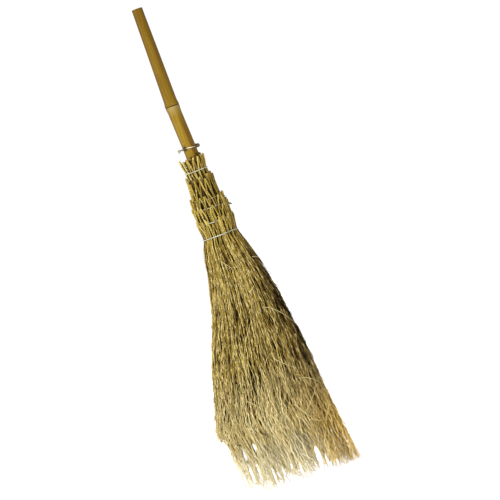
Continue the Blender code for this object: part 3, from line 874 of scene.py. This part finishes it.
FIRST_RISE = 0.010  # how much higher the first tier's butts stand on the right
RISE_LENGTH = 0.03
STEM_TAPER = 0.66
STEM_TONE = 0.79
KINK = (0.0008, 0.0026)  # how far a stem zigzags from joint to joint in the open brush
KINK_LOW = (0.34, 0.20)  # it zigzags more under this height, growing over this length
BRANCHES = 7
BRANCH_SPREAD = 0.018
LOWEST_BRANCH = 0.14
SHORT_SHARE = 0.75
SHORT_BRANCH = (0.07, 0.24)
LEAST_BRANCH = 0.05
SWING = 0.04  # a branch swings out over this length
TWIGLETS = 3
TWIGLET_LENGTH = (0.014, 0.050)
TWIGLET_TAPER = np.array([1, 0.85, 0.7, 0.8])
TWIGLET_BUD = np.array([0.0, 0.0, 0.0, 0.8])
FRINGE = 3  # shoots near the tip of every stem
FRINGE_HEIGHT = 0.24
FINE_TONE = 0.62
SKIN_SPACING = 0.0056
SKIN_ROW = 0.042
SKIN_LENGTH = (0.07, 0.15)
SKIN_RADIUS = (0.0008, 0.0012)
SKIN_LOWEST = 0.10
SKIN_DEPTHS = (0.86, 1.0)

# How deep under the surface a twig's painted shade starts and where it is full, in the neck, and how much
# deeper both lie in the open brush
PAINTED_SHADE_NEAR = (0.0026, 0.0004)
PAINTED_SHADE_FAR = (0.0061, 0.0025)
# Where these begin and over what length they grow on the way down: the bleached tips, which also carry
# painted light on the lower brush, the browned lower right, and the thin end of the brush, which light gets
# into
BLEACH_AND_LIGHT = (0.30, 0.24)
BROWNED = (0.32, 0.20)
OPEN_TO_LIGHT = (0.26, 0.16)


def waves(heights, spans, sizes):
    """A smooth random wander along a stem."""
    total = np.zeros_like(heights)
    for span, size in zip(spans, sizes):
        total += size * random.normal() * np.sin(2 * np.pi * (heights / span + random.random()))
    return total


def opening(heights):
    """0 in the tied neck, 1 in the open brush."""
    return below(heights, BRUSH_HEIGHT, BRUSH_HEIGHT - FAN_FULL)


def furrow(angle, heights):
    """1 in the furrows between the outer twigs of the open brush, 0 elsewhere. Most are on the right."""
    phase = np.multiply.outer(np.cos(angle), FURROW_ACROSS) + np.multiply.outer(np.sin(angle), FURROW_THROUGH)
    phase += np.multiply.outer(heights, 2 * np.pi / FURROW_LENGTH)
    level = FURROW_LEVEL - FURROW_MORE * np.clip(np.cos(angle), 0, 1) ** 2
    share = above(np.sin(phase + FURROW_START).mean(axis=-1), level, FURROW_SLOPE)
    return share * np.clip(3 * opening(heights), 0, 1) * above(heights, *FURROW_END)


def joints_down(top, tip, internode, ringed):
    """Heights of a stem's points, which of them are joints, and the zigzag that the joints make."""
    steps = random.uniform(*internode, int((top - tip) / internode[0]) + 2)
    joints = top - np.cumsum(steps)
    joints = joints[joints > tip + LAST_JOINT]
    nodes = np.concatenate([[top], joints, [tip]])
    middles = (nodes[:-1] + nodes[1:]) / 2
    zigzag = np.where(np.arange(len(nodes)) % 2, 1.0, -1.0) * random.uniform(0.4, 1.0, len(nodes))
    heights = [nodes, middles]
    marks = [np.concatenate([[0], np.ones(len(joints)), [0]]), np.zeros(len(middles))]
    if ringed:
        heights += [joints + JOINT_RING, joints - JOINT_RING]
        marks += [np.zeros(len(joints)), np.zeros(len(joints))]
    heights, marks = np.concatenate(heights), np.concatenate(marks)
    order = np.argsort(-heights)
    heights, marks = heights[order], marks[order]
    return heights, marks, np.interp(-heights, -nodes, zigzag)


class Lay:
    """How a stem lies: its angle round the head and its depth in its tier, at each height."""

    def __init__(self, tier, heights, angle, depth):
        self.tier = tier
        self.heights = heights
        self.angle = np.full_like(heights, angle)
        self.depth = np.full_like(heights, depth)

    def section(self, margin):
        """Middle, half width and half depth of the surface that the stem lies on."""
        inner = core_at(self.heights) if self.tier == 1 else sleeves[self.tier - 2].at(self.heights)
        outer = sleeves[self.tier - 1].at(self.heights)
        outer[1:] -= margin
        return inner + (outer - inner) * np.clip(self.depth, 0, 1)

    def path(self, margin):
        middle, width, depth = self.section(margin + FURROW_DEPTH * furrow(self.angle, self.heights))
        x = middle + width * np.cos(self.angle)
        y = depth * np.sin(self.angle)
        return np.column_stack([x, y, self.heights])

    def arc(self):
        """Metres round the head for each radian, at each height."""
        _, width, depth = self.section(0.0)
        return np.sqrt((width * np.sin(self.angle)) ** 2 + (depth * np.cos(self.angle)) ** 2) + LEAST_ARC

    def follow(self, heights):
        """The angle and depth of this stem at other heights."""
        order = self.heights[::-1]
        return np.interp(heights, order, self.angle[::-1]), np.interp(heights, order, self.depth[::-1])


def tip_height(x):
    """Where a stem that ends at this x stops: never below the worn edge, and raggedly above it."""
    worn = np.interp(x - HANDLE_X, WORN[:, 0], WORN[:, 1])
    return worn + min(MOST_RAGGED, random.exponential(np.interp(x - HANDLE_X, *RAGGED)))


def part_slits(path):
    """Move a twig aside from the gaps in the worn end."""
    for middle, height, half_width, half_length in SLITS:
        away = path[:, 0] - HANDLE_X - middle
        weight = np.exp(-(((path[:, 2] - height) / half_length) ** 2))
        side = math.copysign(1, away[np.argmax(weight)])
        reach = half_width * random.uniform(*SLIT_RAGGED)
        path[:, 0] += side * weight * np.clip(reach - side * away, 0, 2 * reach)


def unbroken(path):
    """How many of a twig's points are left of it where the left edge is broken away."""
    height = NOTCH_HEIGHT + splinters.normal(0, NOTCH_RAGGED)
    broken = (path[:, 0] - HANDLE_X < NOTCH_REACH) & (path[:, 2] < height)
    return np.argmax(broken) if broken.any() else len(path)


def tuck(path):
    """Draw in the points that stand too proud. Gives how far right each is, how deep, and its angle."""
    middle, width, depth = outside_at(path[:, 2])
    x, y = path[:, 0] - middle, path[:, 1]
    reach = np.hypot(x, y) + 1e-6
    surface = reach / np.maximum(np.hypot(x / width, y / depth), 0.05)
    share = np.minimum(1, (surface + PROUD) / reach)
    path[:, 0], path[:, 1] = middle + x * share, y * share
    return np.clip(x / width, 0, 1), surface - reach, np.arctan2(y / depth, x / width)


def painted_shade_at(heights, side, buried, angle):
    """The painted shade on a twig for its depth: darkest in the neck, soonest on the right, least near the
    tips.
    """
    fan = opening(heights)
    flank = side * np.clip(2 * fan, 0, 1)
    near = (PAINTED_SHADE_NEAR[0] + PAINTED_SHADE_NEAR[1] * fan) * (1 - 0.6 * flank)
    far = (PAINTED_SHADE_FAR[0] + PAINTED_SHADE_FAR[1] * fan) * (1 - 0.5 * flank)
    gloom = above(buried, near, far - near)
    gloom *= 0.88 + 0.12 * fan - 0.70 * below(heights, *OPEN_TO_LIGHT) * (1 - 0.35 * side)
    # twigs in the furrows get full painted shade
    return np.maximum(gloom, furrow(angle, heights))


def shade_at(heights, side):
    """Painted shade on many twigs at the right edge, most of them high up, above the browned ones."""
    upper = above(heights.mean(), 0.36, 0.08)
    likely = (0.55 + 0.25 * upper) * above(side.mean() + 0.12 * upper, 0.70, 0.2)
    shaded = 0.95 * (random.random() < likely)
    return shaded * side * np.clip(3 * opening(heights), 0, 1) * (1 - below(heights, *BROWNED))


def grow(tubes, path, radii, sides, tone, joint, tip=0.0, **more):
    """Add a twig, tucked in and clear of the gaps, with the numbers that its bark reads."""
    part_slits(path)
    heights = path[:, 2]
    side, buried, angle = tuck(path)
    gloom = np.maximum(painted_shade_at(heights, side, buried, angle), shade_at(heights, side))
    # paler lower down as painted light over the twigs' own bleached ends, a little less on the right
    bleach_and_light = np.maximum(below(heights, *BLEACH_AND_LIGHT) ** 0.9 * (1 - 0.10 * side), tip)
    warm = 0.8 * random.random() ** 2.5 + 0.25 * side + 0.8 * side**1.5 * below(heights, *BROWNED)
    # painted shade: every twig's tone is lowered towards the right
    numbers = {"tone": np.clip(tone - 0.18 * side, 0, 1), "warm": np.clip(warm, 0, 1)}
    numbers |= {"gloom": gloom, "tip": bleach_and_light, "joint": joint}
    left = unbroken(path)
    if left > 1:
        numbers = {name: value[:left] for name, value in numbers.items()}
        tubes.add(path[:left], radii[:left], sides, **numbers, **more)


def lay_stem(tubes, lay, radii, tone, sides, marks, zigzag, slant=0.0, flare=0.0):
    """Add a stem or a branch where it lies, zigzagging from joint to joint."""
    path = lay.path(radii[0] - flare * np.exp((lay.heights - lay.heights[0]) / FLARE_LENGTH))
    heading = random.uniform(0, 2 * np.pi)
    loose = 0.15 + 0.85 * opening(lay.heights) + 1.2 * below(lay.heights, *KINK_LOW)
    kink = random.uniform(*KINK) * zigzag * loose
    path[:, 0] += kink * math.cos(heading)
    path[:, 1] += kink * math.sin(heading)
    grow(tubes, path, radii * (1 + 0.30 * marks), sides, tone, marks, slant=slant)


def twig_tone(middle=0.56):
    return float(np.clip(random.normal(middle, 0.25), 0.02, 1))


def make_stem(tubes, tier, angle, depth, top, fork, hook):
    """A stem from its cut butt down to its tip. fork is how far it ends up beside its sprig's middle."""
    brush = sleeves[-1].at(0.06)
    x_at_tip = brush[0] + brush[1] * math.cos(angle) * (0.45 + 0.11 * tier)
    heights, marks, zigzag = joints_down(top, tip_height(x_at_tip), STEM_INTERNODE, True)
    down = top - heights
    if tier == 1:
        heights = heights + FIRST_RISE * max(0.0, math.cos(angle)) * np.exp(-down / RISE_LENGTH)
    lay = Lay(tier, heights, angle, depth)
    fan = opening(heights)
    forked = np.minimum(1, down / TIER_FORK_LENGTH[tier - 1]) ** 0.8
    aside = fork * forked + hook * np.exp(-down / BUTT_LENGTH)
    lean = random.normal(0, 0.014) * down
    wander = waves(heights, (0.22, 0.09), (0.0010, 0.0008)) * (1 + 3.5 * fan)
    lay.angle = lay.angle + (aside + lean + wander) / lay.arc()
    lay.depth = lay.depth + waves(heights, (0.20, 0.08), (0.05, 0.04)) * (1 + 5 * fan)
    thickness = TIER_RADIUS[tier - 1] * random.uniform(0.82, 1.18)
    share = down / (top - heights[-1])
    radii = thickness * (1 - STEM_TAPER * share**0.8) * (1 + 0.40 * np.exp(-down / BUTT_LENGTH))
    flare = TIER_FLARE[tier - 1] * random.uniform(0.6, 1.4)
    tone = twig_tone(STEM_TONE)
    lay_stem(tubes, lay, radii, tone, STEM_SIDES, marks, zigzag, random.uniform(-0.6, 0.6), flare)
    return lay, radii


def make_branch(tubes, parent, parent_radii, top, spread, tone):
    """A branch that leaves its stem at a joint and swings out to hang beside it."""
    tip = tip_height(parent.path(0.0)[-1, 0] + spread)
    if random.random() < SHORT_SHARE:
        tip = max(tip, top - random.uniform(*SHORT_BRANCH))
    if top - tip < LEAST_BRANCH:
        return None
    heights, marks, zigzag = joints_down(top, tip, BRANCH_INTERNODE, False)
    angle, depth = parent.follow(heights)
    calm, _ = parent.follow(np.array([top, tip]))
    away = 1 - np.exp(-(top - heights) / SWING)
    straight = np.interp(heights, [tip, top], calm[::-1])
    lay = Lay(parent.tier, heights, angle + (straight - angle) * away, depth)
    lateral = spread * away + waves(heights, (0.13, 0.055), (0.0040, 0.0022)) * away
    lay.angle = lay.angle + lateral / lay.arc()
    lay.depth = depth + (random.normal(0, 0.40) + waves(heights, (0.12,), (0.25,))) * away
    parent_radius = np.interp(top, parent.heights[::-1], parent_radii[::-1])
    thickness = min(parent_radius * 0.9, random.uniform(*BRANCH_RADIUS))
    radii = thickness * (1 - 0.5 * (top - heights) / (top - tip))
    lay_stem(tubes, lay, radii, tone, BRANCH_SIDES, marks, zigzag)
    return lay


def make_twiglet(tubes, lay, tone, highest=BRUSH_HEIGHT):
    """A short side shoot that starts under a height, bends back down, and ends in a bud."""
    path = lay.path(HAIR)
    at = random.integers(np.clip(np.searchsorted(-lay.heights, -highest), 1, len(path) - 2), len(path) - 1)
    length = random.uniform(*TWIGLET_LENGTH)
    down = path[at] - path[at - 1]
    down /= np.linalg.norm(down)
    out = random.normal(0, 1, 3) * (1, 0.8, 0.2)
    middle, width, depth = outside_at(path[at : at + 1, 2])[:, 0]
    proud = np.array([(path[at, 0] - middle) / width**2, path[at, 1] / depth**2, 0])
    proud /= np.linalg.norm(proud) + 1e-9
    out -= proud * 0.75 * max(0.0, out.dot(proud))
    out -= down * out.dot(down)
    out /= np.linalg.norm(out)
    reach = np.linspace(0, 1, len(TWIGLET_TAPER))[:, None]
    splay = random.uniform(0.3, 0.8) + 0.5 * random.random() * (path[at, 2] < BLEACH_AND_LIGHT[0])
    shoot = path[at] + down * length * reach + out * length * splay * (reach - 0.5 * reach**2)
    if shoot[-1, 2] > 2 * HAIR:
        radii = random.uniform(*TWIGLET_RADIUS) * TWIGLET_TAPER
        across = np.cross(down, out)
        grow(tubes, shoot, radii, SHOOT_SIDES, tone, TWIGLET_BUD, tip=reach[:, 0] * 0.35, across=across)


def make_sprig(tubes, tier, angle, depth, top):
    """Stems that fork from one knob of old wood, and their branches and shoots."""
    count = random.choice([1, 2, 3], p=TIER_FORKS[tier - 1])
    fork = TIER_FORK_REACH[tier - 1] * random.uniform(0.75, 1.25)
    hook = random.normal(0, 0.0022)
    for place in np.linspace(-1, 1, count) if count > 1 else [0.0]:
        level = top + random.normal(0, 0.0012)
        lay, radii = make_stem(tubes, tier, angle, depth, level, place * fork, hook)
        for _ in range(FRINGE):
            make_twiglet(tubes, lay, twig_tone(FINE_TONE), FRINGE_HEIGHT)
        for _ in range(BRANCHES):
            tone = twig_tone()
            start = random.uniform(LOWEST_BRANCH, BRUSH_HEIGHT)
            branch = make_branch(tubes, lay, radii, start, random.normal(0, BRANCH_SPREAD), tone)
            if branch:
                for _ in range(TWIGLETS):
                    make_twiglet(tubes, branch, tone)


def bunch_at(angle):
    return SIDES[int(angle / BUNCH_ANGLE + 0.5) % len(SIDES)]


def make_skin(bunches):
    """The twigs that lie outermost on the open brush, spread so that thin dark gaps stay between them."""
    for row in np.arange(BRUSH_HEIGHT - 0.004, SKIN_LOWEST + SKIN_LENGTH[0], -SKIN_ROW):
        _, width, depth = outside_at(np.array([row]))[:, 0]
        count = int(2 * math.pi * math.sqrt((width**2 + depth**2) / 2) / SKIN_SPACING)
        offset = random.random()
        for number in range(count):
            angle = 2 * np.pi * (number + offset + random.uniform(-0.35, 0.35)) / count
            top = row + random.uniform(-0.5, 0.5) * SKIN_ROW
            tip = max(SKIN_LOWEST * random.uniform(0.6, 1.4), top - random.uniform(*SKIN_LENGTH))
            if top - tip < SKIN_LENGTH[0] / 2:
                continue
            heights, marks, zigzag = joints_down(top, tip, BRANCH_INTERNODE, False)
            down = top - heights
            lay = Lay(TIERS, heights, angle, random.uniform(*SKIN_DEPTHS))
            drift = random.normal(0, 0.07) * down + waves(heights, (0.07,), (0.0012,))
            lay.angle = lay.angle + drift / lay.arc()
            lay.depth = lay.depth - 0.22 * np.exp(-down / 0.012) + waves(heights, (0.09,), (0.06,))
            radii = random.uniform(*SKIN_RADIUS) * (1 - 0.4 * down / down[-1])
            tone = twig_tone(FINE_TONE)
            tubes = bunches[bunch_at(angle)]
            lay_stem(tubes, lay, radii, tone, SKIN_SIDES, marks, zigzag)
            for _ in range(random.integers(0, 3 + 4 * (row < FAN_FULL))):
                make_twiglet(tubes, lay, tone)


# Loose twigs that lie across the others: reach from the handle's axis, height, length, and slope from level
STRAY_POINTS = 7
STRAY_BEND = (-0.10, 0.14)  # of its length
STRAY_PROUD = 0.0008
STRAYS = (
    (0.0385, 0.424, 0.102, -0.85),
    (0.0193, 0.468, 0.021, 0.60),
    (0.020, 0.300, 0.060, -0.75),
    (0.060, 0.235, 0.062, -0.60),
    (-0.030, 0.360, 0.050, 0.95),
    (-0.075, 0.225, 0.055, -0.85),
    (0.045, 0.150, 0.060, 0.80),
    (-0.020, 0.560, 0.035, -0.90),
    (0.050, 0.135, 0.050, -0.35),
    (0.055, 0.545, 0.016, -0.40),
    (0.030, 0.180, 0.070, -0.95),
    (-0.100, 0.150, 0.060, 0.70),
)


def make_strays(bunches):
    """A few loose twigs lie across the others, and as many again on the back."""
    for reach, height, length, slope in STRAYS:
        for face in (-1, 1):
            along = np.linspace(0, 1, STRAY_POINTS)
            bend = random.uniform(*STRAY_BEND) * length * np.sin(along * np.pi)
            x = HANDLE_X + reach + length * along * math.cos(slope) * -face
            z = height + length * along * math.sin(slope) * -face + bend
            middle, width, depth = outside_at(z)
            share = np.clip((x - middle) / width, -0.995, 0.995)
            y = face * depth * np.sqrt(1 - share**2) + face * STRAY_PROUD
            path = np.column_stack([x, y, z])
            radii = random.uniform(*TWIGLET_RADIUS) * (1.6 - 0.8 * along)
            angle = math.atan2(y[0] / depth[0], share[0]) % (2 * math.pi)
            marks = 0.6 * (np.arange(STRAY_POINTS) % 2)
            look = {"tone": 1.0, "tip": 0.3, "joint": marks}
            bunches[bunch_at(angle)].add(path, radii, SKIN_SIDES, across=(0, 0.2, 1), **look)


def make_tier(tier, materials):
    """All the twigs of one tier, gathered by the bunch that they belong to."""
    bunches = {side: Tubes() for side in SIDES}
    for count, layer in TIER_LAYERS[tier - 1]:
        offset = random.random()
        for number in range(count):
            angle = 2 * np.pi * (number + offset + random.uniform(-0.16, 0.16)) / count
            top = butts[tier - 1] + TIER_LIFT[tier - 1] + random.normal(0, TIER_RAGGED[tier - 1])
            depth = layer + random.uniform(-0.06, 0.06)
            make_sprig(bunches[bunch_at(angle)], tier, angle, depth, top)
    if tier == TIERS:
        make_skin(bunches)
        make_strays(bunches)
    for side, tubes in bunches.items():
        tubes.piece("tier" + str(tier) + "_twigs_" + side, materials, bunch_node(tier, side), "twig")


twig_finishes = [twig_material(), cut_material()]
for tier in range(1, TIERS + 1):
    make_tier(tier, twig_finishes)


# ---------------------------------------------------------------- light, floor and camera


AMBIENT = 0.35
# What the surround gives: from its full strength near the horizon to the ambient light over it
HORIZON = (("From Min", 0.14), ("From Max", 0.30), ("To Min", 1.05), ("To Max", AMBIENT))
LAMPS = (
    # name, where it shines towards, strength, softness in degrees
    ("key", (0.38, 0.70, -1.05), 3.4, 30),
    ("side", (1.0, 0.40, -0.25), 1.3, 40),
)
FLOOR_SIZE = 80
FLOOR_DROP = 0.002  # under the lowest tips
FLOOR_GREY = 0.55
FLOOR_GLOW = 0.85
CAMERA_ROLL = math.radians(20)
CAMERA_DISTANCE = 6.0
FRAME_WIDTH = 1.2035  # how much the picture shows across, at the broom
FRAME_CENTRE = Vector((HANDLE_X + 0.056, 0, 0.562))


def make_floor():
    bpy.ops.mesh.primitive_plane_add(size=FLOOR_SIZE, location=(0, 0, -FLOOR_DROP))
    floor = bpy.context.object
    floor.name = "floor"
    pale = Recipe("pale_floor")
    lit = {"Emission Color": (1, 1, 1, 1), "Emission Strength": FLOOR_GLOW}
    grey = (FLOOR_GREY, FLOOR_GREY, FLOOR_GREY, 1)
    floor.data.materials.append(pale.finish(grey, 0.9, None, lit))


def make_surround():
    """A studio that is white along its horizon and dimmer over it."""
    world = bpy.data.worlds.new("studio")
    bpy.context.scene.world = world
    world.use_nodes = True
    tree = world.node_tree
    towards = tree.nodes.new("ShaderNodeTexCoord")
    split = tree.nodes.new("ShaderNodeSeparateXYZ")
    band = tree.nodes.new("ShaderNodeMapRange")
    for name, value in HORIZON:
        band.inputs[name].default_value = value
    tree.links.new(towards.outputs["Generated"], split.inputs[0])
    tree.links.new(split.outputs["Z"], band.inputs["Value"])
    tree.links.new(band.outputs["Result"], tree.nodes["Background"].inputs["Strength"])
    tree.nodes["Background"].inputs["Color"].default_value = (1, 1, 1, 1)


def make_lamps():
    """Soft light from the upper left of the front."""
    for name, towards, strength, softness in LAMPS:
        lamp = bpy.data.lights.new(name, "SUN")
        lamp.energy = strength
        lamp.angle = math.radians(softness)
        holder = into_scene(name, lamp)
        holder.rotation_mode = "QUATERNION"
        holder.rotation_quaternion = Vector(towards).to_track_quat("-Z", "Y")
    bpy.context.scene.view_settings.view_transform = "Standard"


def make_camera():
    """Face on to the brush, level with its middle, and rolled so that the handle leans to the left."""
    camera = bpy.data.cameras.new("camera")
    camera.lens = camera.sensor_width * CAMERA_DISTANCE / FRAME_WIDTH
    camera.clip_end = 200
    right = Vector((math.cos(CAMERA_ROLL), 0, -math.sin(CAMERA_ROLL)))
    up = Vector((math.sin(CAMERA_ROLL), 0, math.cos(CAMERA_ROLL)))
    back = right.cross(up)
    matrix = Matrix((right, up, back)).transposed().to_4x4()
    matrix.translation = FRAME_CENTRE + back * CAMERA_DISTANCE
    holder = into_scene("camera", camera)
    holder.matrix_world = matrix
    bpy.context.scene.camera = holder


make_floor()
make_surround()
make_lamps()
make_camera()
